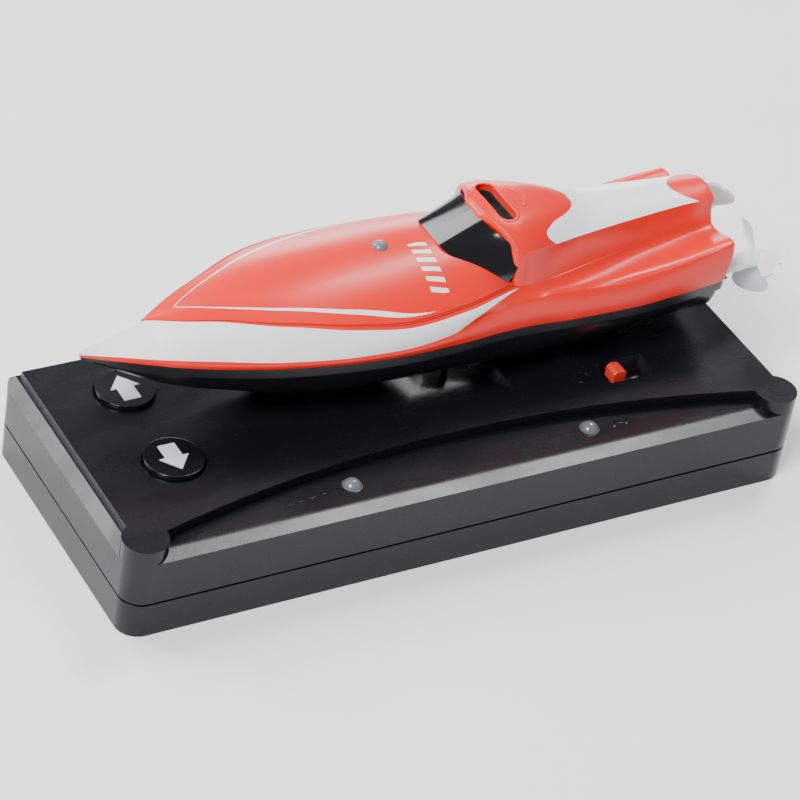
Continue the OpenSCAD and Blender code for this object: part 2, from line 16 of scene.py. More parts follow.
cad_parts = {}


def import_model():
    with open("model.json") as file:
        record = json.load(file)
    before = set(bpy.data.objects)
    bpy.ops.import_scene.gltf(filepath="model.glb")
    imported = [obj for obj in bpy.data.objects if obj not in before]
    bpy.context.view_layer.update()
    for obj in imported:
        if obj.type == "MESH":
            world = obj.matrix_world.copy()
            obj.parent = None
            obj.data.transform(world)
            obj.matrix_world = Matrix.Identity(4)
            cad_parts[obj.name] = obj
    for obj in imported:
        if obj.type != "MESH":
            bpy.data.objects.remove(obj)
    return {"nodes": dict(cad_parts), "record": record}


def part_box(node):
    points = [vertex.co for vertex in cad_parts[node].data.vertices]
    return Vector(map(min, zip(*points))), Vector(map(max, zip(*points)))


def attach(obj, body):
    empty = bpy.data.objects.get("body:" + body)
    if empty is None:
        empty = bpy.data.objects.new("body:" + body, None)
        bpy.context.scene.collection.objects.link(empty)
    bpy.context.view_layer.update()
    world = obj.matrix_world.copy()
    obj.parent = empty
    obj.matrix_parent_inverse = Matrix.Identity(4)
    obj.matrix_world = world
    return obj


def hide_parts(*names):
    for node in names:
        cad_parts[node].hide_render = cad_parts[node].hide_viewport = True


MM = 0.001
Colour = Tuple[float, float, float]
Pair = Tuple[float, float]
Spot = Tuple[float, float, float]
Surface = Callable[[float, float], Spot]

log = logging.getLogger("rc_boat")


# ---------------------------------------------------------------- shader groups


class Group(Enum):
    """Shader node groups that several finishes share."""

    GRAIN = "moulded_grain"
    HANDLING = "handling_marks"
    MOTTLE = "colour_mottle"


class Nodes:
    """Short-hand for building one node tree."""

    def __init__(self, tree: NodeTree) -> None:
        """Keeps the tree and clears it.

        Args:
            tree: The node tree to fill.
        """
        self.tree = tree
        tree.nodes.clear()

    def add(self, kind: str, inputs: Optional[Dict[object, object]] = None, **settings: object) -> Node:
        """Adds one node.

        Args:
            kind: The node's type name.
            inputs: Values or output sockets, by input name or index.
            settings: Attributes set on the node.

        Returns:
            The new node.
        """
        node = self.tree.nodes.new(kind)
        for name, value in settings.items():
            setattr(node, name, value)
        for key, value in (inputs or {}).items():
            self.put(node, key, value)
        return node

    def math(self, operation: str, a: object, b: object = 0.0, c: object = 0.0) -> NodeSocket:
        """Adds a Math node and returns its output."""
        return self.add("ShaderNodeMath", {0: a, 1: b, 2: c}, operation=operation).outputs[0]

    def times(self, a: object, b: object) -> NodeSocket:
        """Returns the product of two values."""
        return self.math("MULTIPLY", a, b)

    def surface(self, inputs: Dict[object, object]) -> None:
        """Ends a material with a Principled shader that has the given inputs."""
        shader = self.add("ShaderNodeBsdfPrincipled", inputs)
        self.add("ShaderNodeOutputMaterial", {"Surface": shader.outputs[0]})

    def put(self, node: Node, key: object, value: object) -> None:
        """Sets or links one input of a node."""
        if isinstance(value, NodeSocket):
            self.tree.links.new(value, node.inputs[key])
        else:
            node.inputs[key].default_value = value

    def spread(self, value: object, lows: Pair, highs: Pair) -> NodeSocket:
        """Maps a value from one range to another.

        Args:
            value: The socket to map.
            lows: The source range.
            highs: The target range.

        Returns:
            The mapped socket.
        """
        node = self.add("ShaderNodeMapRange", {0: value, 1: lows[0], 2: lows[1], 3: highs[0], 4: highs[1]})
        return node.outputs[0]

    def within(self, value: object, low: object, high: object) -> NodeSocket:
        """Returns 1 where a value lies between two bounds and 0 elsewhere."""
        return self.times(self.math("GREATER_THAN", value, low), self.math("LESS_THAN", value, high))

    def blend(self, factor: object, a: object, b: object) -> NodeSocket:
        """Mixes two colours.

        Args:
            factor: 0 gives the first colour, 1 the second.
            a: The first colour.
            b: The second colour.

        Returns:
            The mixed colour.
        """
        return self.add("ShaderNodeMix", {0: factor, 6: a, 7: b}, data_type="RGBA").outputs[2]


def open_group(name: Group, inputs: Sequence[Tuple[str, str, object]],
               outputs: Sequence[Tuple[str, str]]) -> Tuple[NodeTree, Nodes]:
    """Starts a shader node group with named sockets.

    Args:
        name: Which group this is.
        inputs: Name, socket type and default of each input.
        outputs: Name and socket type of each output.

    Returns:
        The group's tree and its node builder.
    """
    tree = bpy.data.node_groups.new(name.value, "ShaderNodeTree")
    for label, kind, default in inputs:
        socket = tree.interface.new_socket(name=label, in_out="INPUT", socket_type=kind)
        socket.default_value = default
    for label, kind in outputs:
        tree.interface.new_socket(name=label, in_out="OUTPUT", socket_type=kind)
    return tree, Nodes(tree)


FLOAT, RGBA = "NodeSocketFloat", "NodeSocketColor"


def build_grain() -> NodeTree:
    """Builds the fine pitted grain of a moulded surface.

    Returns:
        The group, with a Height output.
    """
    tree, n = open_group(Group.GRAIN, [("Scale", FLOAT, 900.0), ("Soft Scale", FLOAT, 60.0)],
                         [("Height", FLOAT)])
    place = n.add("ShaderNodeTexCoord").outputs["Object"]
    given = n.add("NodeGroupInput")
    pits = n.add("ShaderNodeTexNoise", {"Vector": place, "Scale": given.outputs["Scale"], "Detail": 3.0,
                                        "Roughness": 0.6})
    flow = n.add("ShaderNodeTexNoise", {"Vector": place, "Scale": given.outputs["Soft Scale"], "Detail": 2.0})
    n.add("NodeGroupOutput", {"Height": n.math("MULTIPLY_ADD", flow.outputs[0], 0.35, pits.outputs[0])})
    return tree


def build_handling() -> NodeTree:
    """Builds faint smears and specks of dust left by handling.

    Returns:
        The group, with Smear and Dust outputs.
    """
    tree, n = open_group(Group.HANDLING, [("Smear Scale", FLOAT, 45.0), ("Dust Amount", FLOAT, 0.3)],
                         [("Smear", FLOAT), ("Dust", FLOAT)])
    place = n.add("ShaderNodeTexCoord").outputs["Object"]
    given = n.add("NodeGroupInput")
    turned = n.add("ShaderNodeMapping", {"Vector": place, "Rotation": (0.3, 0.2, 0.7),
                                         "Scale": (1.0, 2.6, 1.0)})
    smear = n.add("ShaderNodeTexNoise", {"Vector": turned.outputs[0], "Scale": given.outputs["Smear Scale"],
                                         "Detail": 5.0, "Roughness": 0.62})
    specks = n.add("ShaderNodeTexVoronoi", {"Vector": place, "Scale": 620.0})
    patch = n.add("ShaderNodeTexNoise", {"Vector": place, "Scale": 110.0, "Detail": 2.0})
    near = n.spread(specks.outputs["Distance"], (0.05, 0.16), (1.0, 0.0))
    some = n.spread(patch.outputs[0], (0.55, 0.7), (0.0, 1.0))
    dust = n.times(n.times(near, some), given.outputs["Dust Amount"])
    n.add("NodeGroupOutput", {"Smear": n.spread(smear.outputs[0], (0.35, 0.7), (0.0, 1.0)), "Dust": dust})
    return tree


def build_mottle() -> NodeTree:
    """Builds a slow drift in a colour, as pigment or plating varies.

    Returns:
        The group, with a Colour output.
    """
    grey, deep = (0.5, 0.5, 0.5, 1), (0.3, 0.3, 0.3, 1)
    tree, n = open_group(Group.MOTTLE, [("Colour", RGBA, grey), ("Deep", RGBA, deep), ("Scale", FLOAT, 30.0)],
                         [("Colour", RGBA)])
    place = n.add("ShaderNodeTexCoord").outputs["Object"]
    given = n.add("NodeGroupInput")
    cloud = n.add("ShaderNodeTexNoise", {"Vector": place, "Scale": given.outputs["Scale"], "Detail": 4.0})
    drift = n.spread(cloud.outputs[0], (0.35, 0.75), (0.0, 1.0))
    n.add("NodeGroupOutput", {"Colour": n.blend(drift, given.outputs["Colour"], given.outputs["Deep"])})
    return tree


GROUP_BUILDERS: Dict[Group, Callable[[], NodeTree]] = {
    Group.GRAIN: build_grain, Group.HANDLING: build_handling, Group.MOTTLE: build_mottle}


def group_node(n: Nodes, name: Group, inputs: Dict[object, object]) -> Node:
    """Places a shared group in a material, building it on first use.

    Args:
        n: The material's node builder.
        name: Which group to place.
        inputs: Values for its inputs.

    Returns:
        The group node.
    """
    tree = bpy.data.node_groups.get(name.value) or GROUP_BUILDERS[name]()
    return n.add("ShaderNodeGroup", inputs, node_tree=tree)


# ---------------------------------------------------------------- finishes


def darker(colour: Colour, share: float) -> Tuple[float, float, float, float]:
    """Returns a colour with alpha, scaled by a share."""
    return (colour[0] * share, colour[1] * share, colour[2] * share, 1.0)


def open_material(name: str) -> Tuple[Material, Nodes]:
    """Starts a material and returns it with its node builder."""
    material = bpy.data.materials.new(name)
    material.use_nodes = True
    return material, Nodes(material.node_tree)


def tone_socket(n: Nodes, colour: Colour, drift: float, scale: float) -> NodeSocket:
    """Returns a colour that drifts towards a deeper share of itself over the surface.

    Args:
        n: The material's node builder.
        colour: The colour at its lightest.
        drift: The share of it that is left where it is deepest.
        scale: How fine the drift is.

    Returns:
        The varying colour.
    """
    inputs = {"Colour": darker(colour, 1.0), "Deep": darker(colour, drift), "Scale": scale}
    return group_node(n, Group.MOTTLE, inputs).outputs["Colour"]


@dataclass(frozen=True)
class Plastic:
    """A moulded or painted plastic."""

    name: str
    colour: Colour
    roughness: float = 0.35
    grain: float = 0.1
    grain_scale: float = 1500.0
    drift: float = 0.9
    coat: float = 0.0
    dust: float = 0.05
    dust_colour: Colour = (0.35, 0.35, 0.36)
    specular: float = 0.5

    def colour_socket(self, n: Nodes) -> NodeSocket:
        """Returns the varying base colour before dust."""
        return tone_socket(n, self.colour, self.drift, 35.0)

    def build(self) -> Material:
        """Builds the material.

        Returns:
            The finished material.
        """
        material, n = open_material(self.name)
        grain = group_node(n, Group.GRAIN, {"Scale": self.grain_scale, "Soft Scale": 70.0})
        marks = group_node(n, Group.HANDLING, {"Smear Scale": 50.0, "Dust Amount": self.dust})
        colour = n.blend(marks.outputs["Dust"], self.colour_socket(n), darker(self.dust_colour, 1.0))
        rough = n.spread(marks.outputs["Smear"], (0.0, 1.0), (self.roughness * 0.86, self.roughness * 1.14))
        rough = n.math("MULTIPLY_ADD", marks.outputs["Dust"], 0.3, rough)
        bump = n.add("ShaderNodeBump", {"Height": grain.outputs["Height"], "Strength": self.grain,
                                        "Distance": 0.05 * MM})
        n.surface({"Base Color": colour, "Roughness": rough, "Normal": bump.outputs[0],
                   "Coat Weight": self.coat, "Coat Roughness": 0.08, "Specular IOR Level": self.specular})
        return material


@dataclass(frozen=True)
class Metal:
    """A plated, brushed or drawn metal."""

    name: str
    colour: Colour
    roughness: float = 0.3
    brushing: Spot = (1.0, 12.0, 12.0)

    def build(self) -> Material:
        """Builds the material.

        Returns:
            The finished material.
        """
        material, n = open_material(self.name)
        place = n.add("ShaderNodeTexCoord").outputs["Object"]
        stretched = n.add("ShaderNodeMapping", {"Vector": place, "Scale": self.brushing})
        lines = n.add("ShaderNodeTexNoise", {"Vector": stretched.outputs[0], "Scale": 400.0, "Detail": 4.0})
        tone = tone_socket(n, self.colour, 0.75, 220.0)
        marks = group_node(n, Group.HANDLING, {"Smear Scale": 120.0, "Dust Amount": 0.2})
        colour = n.blend(marks.outputs["Dust"], tone, (0.2, 0.18, 0.15, 1.0))
        rough = n.spread(lines.outputs[0], (0.3, 0.7), (self.roughness * 0.7, self.roughness * 1.3))
        bump = n.add("ShaderNodeBump", {"Height": lines.outputs[0], "Strength": 0.15, "Distance": 0.03 * MM})
        n.surface({"Base Color": colour, "Roughness": rough, "Normal": bump.outputs[0], "Metallic": 1.0})
        return material


class Part(Enum):
    """Which painted part of the boat's top a paint is for."""

    DECK = 1
    COCKPIT = 2


def set_curve(node: Node, points: Sequence[Pair]) -> None:
    """Sets the points of a Float Curve node; the first two are its ends."""
    made = node.mapping.curves[0].points
    for i, (place, value) in enumerate(points):
        if i < 2:
            made[i].location = (place, value)
        else:
            made.new(place, value)
    node.mapping.update()


@dataclass(frozen=True)
class TwoTonePaint(Plastic):
    """Orange-red and white paint, parted along the lines of the boat, with painted shade in the foredeck
    groove.
    """

    white: Colour = (0.86, 0.87, 0.9)
    shaded_groove: Colour = (0.16, 0.008, 0.006)
    # Dark red painted in the groove round the foredeck panel: painted shade, not a paint of its own
    part: Part = Part.DECK

    def colour_socket(self, n: Nodes) -> NodeSocket:
        """Returns red or white, by the part's own lines, and on the deck the groove's painted shade."""
        red, pale = tone_socket(n, self.colour, 0.9, 25.0), tone_socket(n, self.white, 0.96, 25.0)
        lines = n.add("ShaderNodeUVMap", uv_map="lines").outputs[0]
        split = n.add("ShaderNodeSeparateXYZ", {0: lines})
        x, row = n.times(split.outputs[0], UV_X), n.times(split.outputs[1], UV_ROW)
        if self.part is Part.COCKPIT:
            return n.blend(self.cockpit_mask(n, x, row), red, pale)
        # Painted shade: the groove round the foredeck panel is coloured dark red, where its shadow falls
        shaded_groove_mask = n.times(n.within(row, *SHADED_GROOVE_ROWS), n.within(x, *SHADED_GROOVE_REACH))
        return n.blend(shaded_groove_mask, n.blend(self.deck_mask(n, x, row), red, pale), darker(self.shaded_groove, 1.0))

    def deck_mask(self, n: Nodes, x: object, row: object) -> NodeSocket:
        """Returns the mask of the white flank and nose, the pinstripes and the plain bars."""
        flank = n.within(row, 2.0, n.spread(x, FLANK_END, (3.0, 2.0)))
        nose = n.times(n.math("LESS_THAN", x, NOSE_END), n.math("LESS_THAN", row, 2.01))
        white = n.math("MAXIMUM", flank, nose)
        return n.math("MAXIMUM", white, n.math("MAXIMUM", self.stripe_mask(n, x, row), self.bar_mask(n, x)))

    def stripe_mask(self, n: Nodes, x: object, row: object) -> NodeSocket:
        """Returns the mask of the pinstripe, which widens aft and then runs out."""
        centre = n.times(self.stripe_row(n, x), 2.0)
        broad = n.spread(x, (-44.0, -12.0), (0.035, 0.06))
        width = n.times(broad, n.spread(x, (-12.0, STRIPE_END), (1.0, 0.0)))
        stripe = n.within(row, n.math("SUBTRACT", centre, width), n.math("ADD", centre, width))
        return n.times(stripe, n.math("GREATER_THAN", x, STRIPE_START - 0.1))

    def bar_mask(self, n: Nodes, x: object) -> NodeSocket:
        """Returns the mask of the row of slanted bars in front of the cockpit."""
        place = n.add("ShaderNodeTexCoord").outputs["Object"]
        spot = n.add("ShaderNodeSeparateXYZ", {0: place})
        across = n.math("SUBTRACT", n.math("DIVIDE", spot.outputs[1], MM), BARS_Y)
        slanted = n.math("MULTIPLY_ADD", n.math("DIVIDE", spot.outputs[0], MM), BARS_SLANT, across)
        phase = n.math("FRACT", n.math("DIVIDE", slanted, BARS_PITCH))
        bars = n.times(n.math("LESS_THAN", phase, BARS_SHARE), n.within(across, 0.0, BARS_SPAN))
        return n.times(bars, n.within(x, *BARS_REACH))

    def stripe_row(self, n: Nodes, x: object) -> NodeSocket:
        """Returns the middle row of the pinstripe along the panel, as a share of the panel's half-width."""
        place = n.spread(x, (STRIPE_START, STRIPE_END), (0.0, 1.0))
        curve = n.add("ShaderNodeFloatCurve", {"Value": place})
        set_curve(curve, STRIPE_ROWS)
        return curve.outputs[0]

    def cockpit_mask(self, n: Nodes, x: object, row: object) -> NodeSocket:
        """Returns the mask of the white cowl between the roof and the stern lobe."""
        curve = n.add("ShaderNodeFloatCurve", {"Value": row})
        set_curve(curve, COWL_FRONT)
        front = n.times(curve.outputs[0], UV_X)
        rear = n.math("MULTIPLY_ADD", n.times(row, row), COWL_BEND, COWL_REAR)
        return n.times(n.within(x, front, rear), n.math("LESS_THAN", row, 1.0))


# Centre plane of the boat, in millimetres from the middle of the case
BOAT_Y = 7.25
# What one unit of the UV map stands for: millimetres along the boat, and rows
UV_X, UV_ROW = 100.0, 10.0
# Groove round the foredeck panel, where shade is painted dark red, white flank and white nose: rows, and
# places along the boat
SHADED_GROOVE_ROWS, SHADED_GROOVE_REACH = (1.895, 1.93), (-50.5, 15.0)
FLANK_END = (2.0, 15.5)
NOSE_END = -52.6
# Slanted bars: near end, span, reach along the boat, pitch, slant and painted share
BARS_Y, BARS_SPAN, BARS_REACH = -4.6, 10.5, (-2.2, 1.2)
BARS_PITCH, BARS_SLANT, BARS_SHARE = 1.9, 0.25, 0.45
# Middle of the pinstripe: share of its length, and share of the panel's half-width
STRIPE_START, STRIPE_END = -46.5, -2.5
STRIPE_ROWS = ((0.0, 0.0), (1.0, 0.91), (0.08, 0.4), (0.17, 0.58), (0.32, 0.68), (0.5, 0.745), (0.72, 0.82),
               (0.9, 0.89))
# Front edge of the white cowl: share of the way out to the cowl's edge, and x in hundreds of millimetres
COWL_FRONT = ((0.0, 0.313), (1.0, 0.24), (0.3, 0.308), (0.55, 0.282), (0.75, 0.236), (0.85, 0.222))
# Rear edge of the white cowl: x at the centre, and how far it bends aft at the cowl's edge
COWL_REAR, COWL_BEND = 53.6, 4.4

CASE_BLACK = Plastic("case_black", (0.006, 0.006, 0.009), 0.27, 0.14, 2200.0, 0.8, 0.0, 0.03, specular=0.32)
BUTTON_BLACK = Plastic("button_black", (0.006, 0.006, 0.009), 0.2, 0.15, 2200.0, 0.8, 0.15, 0.04)
SWITCH_BLACK = Plastic("switch_black", (0.02, 0.02, 0.022), 0.4, 0.3, 1800.0, 0.8)
ARROW_SILVER = Plastic("arrow_silver", (0.6, 0.62, 0.67), 0.38, 0.1, 1500.0, 0.85, 0.1)
KNOB_RED = Plastic("knob_red", (0.78, 0.05, 0.03), 0.3, 0.2, 1500.0, 0.85, 0.3)
LAMP_GREY = Plastic("lamp_clear", (0.15, 0.155, 0.18), 0.16, 0.05, 1500.0, 0.75, 0.5)
SCREW_STEEL = Metal("screw_steel", (0.55, 0.55, 0.56), 0.28)
CONTACT_METAL = Metal("contact_metal", (0.66, 0.65, 0.62), 0.3)
CONTACT_GOLD = Metal("contact_gold", (0.83, 0.64, 0.3), 0.25)
MOTOR_STEEL = Metal("motor_steel", (0.62, 0.62, 0.64), 0.3, (12.0, 1.0, 1.0))
CELL_JACKET = Plastic("cell_jacket", (0.07, 0.2, 0.45), 0.25, 0.1, 900.0, 0.8, 0.3)
BOARD_GREEN = Plastic("board_green", (0.02, 0.15, 0.05), 0.35, 0.6, 700.0, 0.6, 0.2)
HULL_BLACK = Plastic("hull_black", (0.006, 0.006, 0.008), 0.3, 0.3, 2000.0, 0.8, 0.0, 0.03)
WINDSHIELD_BLACK = Plastic("windshield_black", (0.004, 0.004, 0.006), 0.12, 0.02, 1200.0, 0.8, 0.2, 0.02)
SEAL_RUBBER = Plastic("seal_rubber", (0.018, 0.018, 0.018), 0.6, 0.5, 1100.0, 0.8)
PROPELLER_WHITE = Plastic("propeller_white", (0.82, 0.84, 0.87), 0.35, 0.12, 1200.0, 0.93, 0.1)
RED_COAT = {"colour": (0.8, 0.014, 0.008), "roughness": 0.32, "grain": 0.15, "grain_scale": 900.0,
            "coat": 0.05, "dust": 0.02, "specular": 0.35}
DECK_PAINT = TwoTonePaint("deck_red", **RED_COAT)
COCKPIT_PAINT = TwoTonePaint("cockpit_red", part=Part.COCKPIT, **RED_COAT)
ROOF_RED = Plastic("roof_red", **RED_COAT)


# ---------------------------------------------------------------- mesh tools


def smooth_step(value: float) -> float:
    """Returns a smooth 0 to 1 ramp of a value clamped to 0 to 1."""
    t = min(max(value, 0.0), 1.0)
    return t * t * (3 - 2 * t)


@dataclass(frozen=True)
class Line:
    """A line along the boat: knots of x, half-width and height, in millimetres."""

    knots: Tuple[Spot, ...]

    def at(self, x: float) -> Pair:
        """Returns the half-width and height at x, on a smooth monotone curve."""
        ks = self.knots
        if x <= ks[0][0]:
            return ks[0][1], ks[0][2]
        if x >= ks[-1][0]:
            return ks[-1][1], ks[-1][2]
        i = max(j for j in range(len(ks) - 1) if ks[j][0] <= x)
        return self.between(i, x, 1), self.between(i, x, 2)

    def between(self, i: int, x: float, axis: int) -> float:
        """Returns one coordinate at x between knots i and i + 1."""
        ks = self.knots
        step = ks[i + 1][0] - ks[i][0]
        t = (x - ks[i][0]) / step
        a, b = ks[i][axis], ks[i + 1][axis]
        ma, mb = self.slope(i, axis) * step, self.slope(i + 1, axis) * step
        return ((2 * t ** 3 - 3 * t ** 2 + 1) * a + (t ** 3 - 2 * t ** 2 + t) * ma
                + (3 * t ** 2 - 2 * t ** 3) * b + (t ** 3 - t ** 2) * mb)

    def slope(self, i: int, axis: int) -> float:
        """Returns the slope at a knot, flat where the line turns back."""
        ks = self.knots
        if i == 0 or i == len(ks) - 1:
            j = min(i, len(ks) - 2)
            return (ks[j + 1][axis] - ks[j][axis]) / (ks[j + 1][0] - ks[j][0])
        before = (ks[i][axis] - ks[i - 1][axis]) / (ks[i][0] - ks[i - 1][0])
        after = (ks[i + 1][axis] - ks[i][axis]) / (ks[i + 1][0] - ks[i][0])
        if before * after <= 0:
            return 0.0
        return 2 * before * after / (before + after)


def sharp_edges(bm: BMesh, angle: float) -> List[BMEdge]:
    """Returns the edges whose two faces meet at more than an angle in degrees."""
    return [e for e in bm.edges if len(e.link_faces) == 2 and e.calc_face_angle(0.0) > math.radians(angle)]


def shade(bm: BMesh, angle: float) -> None:
    """Shades a mesh smooth, with edges crisp past an angle in degrees."""
    for face in bm.faces:
        face.smooth = True
    for edge in bm.edges:
        edge.smooth = True
    for edge in sharp_edges(bm, angle):
        edge.smooth = False


def finish_mesh(bm: BMesh, name: str, finishes: Sequence[Material],
                smooth_angle: float = 35.0) -> Object:
    """Turns a bmesh into an object at the origin.

    Args:
        bm: The mesh, in metres; it is freed.
        name: The piece's name.
        finishes: Its materials, in slot order.
        smooth_angle: Edges sharper than this many degrees stay crisp.

    Returns:
        The new object.
    """
    shade(bm, smooth_angle)
    mesh = bpy.data.meshes.new(name)
    bm.to_mesh(mesh)
    bm.free()
    for material in finishes:
        mesh.materials.append(material)
    piece = bpy.data.objects.new(name, mesh)
    bpy.context.scene.collection.objects.link(piece)
    return piece


def bake_modifiers(piece: Object) -> None:
    """Applies every modifier of a piece to its mesh."""
    graph = bpy.context.evaluated_depsgraph_get()
    mesh = bpy.data.meshes.new_from_object(piece.evaluated_get(graph))
    piece.modifiers.clear()
    old = piece.data
    piece.data = mesh
    bpy.data.meshes.remove(old)
    mesh.name = piece.name


def mark_creases(piece: Object, angle: float) -> None:
    """Shades a finished piece smooth, with edges crisp past an angle in degrees."""
    bm = bmesh.new()
    bm.from_mesh(piece.data)
    shade(bm, angle)
    bm.to_mesh(piece.data)
    bm.free()


def stations(start: float, end: float, count: int) -> List[float]:
    """Returns evenly spaced places along X."""
    return [start + (end - start) * i / (count - 1) for i in range(count)]


def half_grid(xs: Sequence[float], rows: Sequence[float], surface: Surface) -> BMesh:
    """Builds a mirrored grid over a surface given for one side.

    Args:
        xs: Stations along X, in millimetres.
        rows: Row numbers from the centre line outwards; the last one is back at the centre plane.
        surface: Gives x, half-width and height at a station and row.

    Returns:
        The grid as a tube that is open at its ends, with a UV map of x and row.
    """
    bm = bmesh.new()
    bmesh.ops.create_grid(bm, x_segments=len(xs) - 1, y_segments=len(rows) - 1, size=1.0)
    uv = bm.loops.layers.uv.new("lines")
    spots: Dict[int, Pair] = {}
    for vertex in bm.verts:
        i = round((vertex.co.x + 1) / 2 * (len(xs) - 1))
        j = round((vertex.co.y + 1) / 2 * (len(rows) - 1))
        x, half, z = surface(xs[i], rows[j])
        spots[vertex.index] = (x, rows[j])
        vertex.co = Vector((x, max(half, 0.0), z)) * MM
    bm.verts.index_update()
    for face in bm.faces:
        for loop in face.loops:
            x, row = spots[loop.vert.index]
            loop[uv].uv = (x / UV_X, row / UV_ROW)
    bmesh.ops.mirror(bm, geom=bm.verts[:] + bm.edges[:] + bm.faces[:], axis="Y", merge_dist=0.00001)
    bmesh.ops.remove_doubles(bm, verts=bm.verts, dist=0.000005)
    bmesh.ops.dissolve_degenerate(bm, edges=bm.edges, dist=0.000002)
    bmesh.ops.translate(bm, verts=bm.verts, vec=(0, BOAT_Y * MM, 0))
    return bm


def close_ends(bm: BMesh) -> None:
    """Closes the open ends of a tube and turns its faces outwards."""
    rim = [e for e in bm.edges if e.is_boundary]
    made = bmesh.ops.holes_fill(bm, edges=rim, sides=0)["faces"]
    bmesh.ops.triangulate(bm, faces=made)
    bmesh.ops.recalc_face_normals(bm, faces=bm.faces)


def bridge_rings(bm: BMesh, rings: Sequence[List[BMVert]]) -> None:
    """Joins rings of vertices, given in order, into one closed band, each ring to the next."""
    for ring, following in zip(rings, list(rings[1:]) + [rings[0]]):
        for i, corner in enumerate(ring):
            j = (i + 1) % len(ring)
            bm.faces.new((corner, ring[j], following[j], following[i]))
    bmesh.ops.recalc_face_normals(bm, faces=bm.faces)


def soften(bm: BMesh, angle: float, width: float, segments: int, clamp: bool = False) -> None:
    """Rounds the edges past an angle in degrees, over a width in millimetres."""
    bmesh.ops.bevel(bm, geom=sharp_edges(bm, angle), offset=width * MM, offset_type="OFFSET",
                    segments=segments, profile=0.5, affect="EDGES", clamp_overlap=clamp, material=-1)


def add_block(bm: BMesh, size: Spot, place: Spot, turn: float) -> None:
    """Adds a block of a size at a place, in millimetres, turned about the vertical in degrees."""
    made = bmesh.ops.create_cube(bm, size=1.0)["verts"]
    spin = Matrix.Rotation(math.radians(turn), 3, "Z")
    bmesh.ops.scale(bm, verts=made, vec=Vector(size) * MM)
    bmesh.ops.rotate(bm, verts=made, cent=(0, 0, 0), matrix=spin)
    bmesh.ops.translate(bm, verts=made, vec=Vector(place) * MM)


def from_node(node: str, width: float, finish: Material, name: str) -> Object:
    """Makes a piece from a CAD node's mesh, merged and with softened edges.

    Args:
        node: The CAD node.
        width: The bevel's width in millimetres.
        finish: The piece's material.
        name: The piece's name.

    Returns:
        The new piece, which replaces the node.
    """
    bm = bmesh.new()
    bm.from_mesh(FRAME["nodes"][node].data)
    bmesh.ops.remove_doubles(bm, verts=bm.verts, dist=0.000002)
    bmesh.ops.dissolve_limit(bm, angle_limit=math.radians(0.6), verts=bm.verts, edges=bm.edges,
                             use_dissolve_boundaries=False)
    soften(bm, 32.0, width, 3, True)
    for face in bm.faces:
        face.material_index = 0
    piece = finish_mesh(bm, name, [finish])
    even = piece.modifiers.new("even", "WEIGHTED_NORMAL")
    even.keep_sharp, even.weight = True, 100
    bake_modifiers(piece)
    return join_piece(piece, FRAME_BODY[node], [node])


def join_piece(piece: Object, body: str, nodes: Sequence[str] = ()) -> Object:
    """Attaches a new piece to its body and hides the CAD nodes that it stands for."""
    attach(piece, body)
    if nodes:
        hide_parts(*nodes)
    log.info("built %s: %d faces on %s", piece.name, len(piece.data.polygons), body)
    return piece


# ---------------------------------------------------------------- the boat


# Ends of the boat along X, and the rounding of the stern's edges
BOW, TRANSOM = -63.4, 62.0
END_ROUND = 0.9
# The transom overhangs: its slope below a height, fading in over the last part of the boat
RAKE, RAKE_TOP, RAKE_START, RAKE_RUN = 0.08, 38.0, 46.0, 16.0


def raked(x: float, z: float) -> float:
    """Returns x moved forward towards the stern's foot, because the transom overhangs."""
    return x - max(RAKE_TOP - z, 0.0) * RAKE * smooth_step((x - RAKE_START) / RAKE_RUN)


def end_inset(x: float) -> float:
    """Returns how far the skin pulls in at x, where the stern's edges are rounded."""
    over = max(x - (TRANSOM - END_ROUND), 0.0)
    return END_ROUND - math.sqrt(max(END_ROUND ** 2 - over ** 2, 0.0))


def lip_share(x: float) -> float:
    """Returns how much of the hull's lip there is at x; it runs out at the bow."""
    return 0.12 + 0.88 * smooth_step((x + 64) / 10)


def between(a: Pair, b: Pair, t: float) -> Pair:
    """Returns the half-width and height a share t of the way from a to b."""
    return a[0] + (b[0] - a[0]) * t, a[1] + (b[1] - a[1]) * t


def hump(t: float) -> float:
    """Returns a bow that is 0 at both ends of 0 to 1, and 1 in the middle."""
    return 4 * t * (1 - t)


# Lines of the deck and hull, from the centre of the deck down to the keel
CROWN = Line(((BOW, 0, 35.2), (-58, 0, 36.9), (-52, 0, 39.1), (-40, 0, 41.8), (-30, 0, 43.2), (-18, 0, 44.2),
              (-7, 0, 44.8), (4, 0, 45.3), (14, 0, 45.2), (14.5, 0, 41.5), (20, 0, 40.5), (62, 0, 37)))
EDGE = Line(((BOW, 0.2, 35.15), (-58, 0.22, 36.85), (-52.6, 0.24, 38.9), (-50, 1.5, 39.35), (-46, 3.7, 39.8),
             (-40, 6.4, 40.3), (-30, 11.2, 40.4), (-18, 14.6, 39.4), (-7, 15.9, 38.5), (4, 14.9, 38.8),
             (15, 12.4, 39.4), (25, 10.6, 38.7), (34, 8.8, 38.9), (46, 6.2, 38.8), (62, 4.4, 39.6)))
RAIL = Line(((BOW, 0.45, 34.4), (-58, 3.2, 34.7), (-52, 6.2, 34.9), (-44, 9.4, 35.0), (-30, 13.8, 34.7),
             (-17.5, 15.7, 34.3), (-8, 16.2, 34.2), (0, 15.8, 34.8), (8, 14.5, 36.2), (16, 13.9, 37.6),
             (25, 14, 37.7), (34, 13.8, 37.5), (48, 13.4, 38.4), (56, 13.0, 39.6), (62, 12.6, 40.5)))
